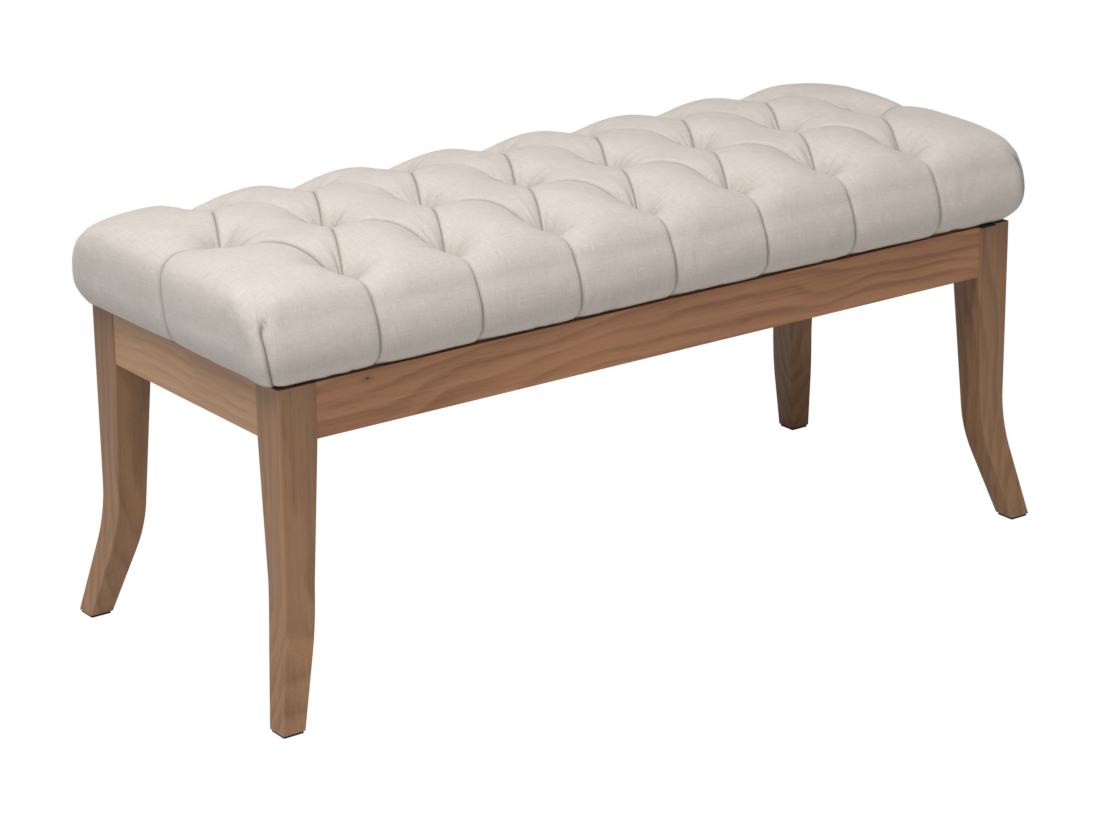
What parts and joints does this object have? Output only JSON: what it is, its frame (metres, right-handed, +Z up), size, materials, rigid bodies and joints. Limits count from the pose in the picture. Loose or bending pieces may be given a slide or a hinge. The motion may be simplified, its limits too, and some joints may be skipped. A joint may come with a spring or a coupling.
{
  "type": "upholstered bench",
  "caption": "Long padded bench with a diamond-tufted linen seat on a low wooden frame with outward-curving sabre legs",
  "frame": {"origin": "On the floor, under the middle of the bench", "axes": "+X runs along the bench's length to the right seen from the front, +Y from the front to the back, +Z up"},
  "size_m": [1.05, 0.434, 0.481],
  "materials": {
    "leg_wood": "satin",
    "rail_wood": "satin",
    "block_wood": "raw",
    "dowel_wood": "raw",
    "plywood": "raw",
    "pad_plastic": "matte",
    "zinc_steel": "zinc plated",
    "foam": "matte",
    "linen": "matte linen weave",
    "twine": "matte",
    "dust_cloth": "matte non-woven",
    "tag": "matte"
  },
  "bodies": {
    "root": {"leg_front_left": "leg_wood", "leg_front_right": "leg_wood", "leg_back_right": "leg_wood", "leg_back_left": "leg_wood", "foot_pad_front_left": "pad_plastic", "foot_pad_front_right": "pad_plastic", "foot_pad_back_right": "pad_plastic", "foot_pad_back_left": "pad_plastic", "corner_block_front_left": "block_wood", "corner_block_front_right": "block_wood", "corner_block_back_right": "block_wood", "corner_block_back_left": "block_wood", "rail_front": "rail_wood", "rail_back": "rail_wood", "rail_left": "rail_wood", "rail_right": "rail_wood", "cross_rail": "block_wood", "rail_dowels": "dowel_wood", "cross_rail_dowels": "dowel_wood", "hanger_bolts": "zinc_steel", "bolt_washers": "zinc_steel", "bolt_nuts": "zinc_steel", "block_screws": "zinc_steel", "seat_screws": "zinc_steel", "seat_board": "plywood", "seat_foam": "foam", "seat_cover": "linen", "tuft_twines": "twine", "cover_staples": "zinc_steel", "dust_cloth": "dust_cloth", "dust_cloth_staples": "zinc_steel", "side_tag": "tag"}
  },
  "joints": []
}
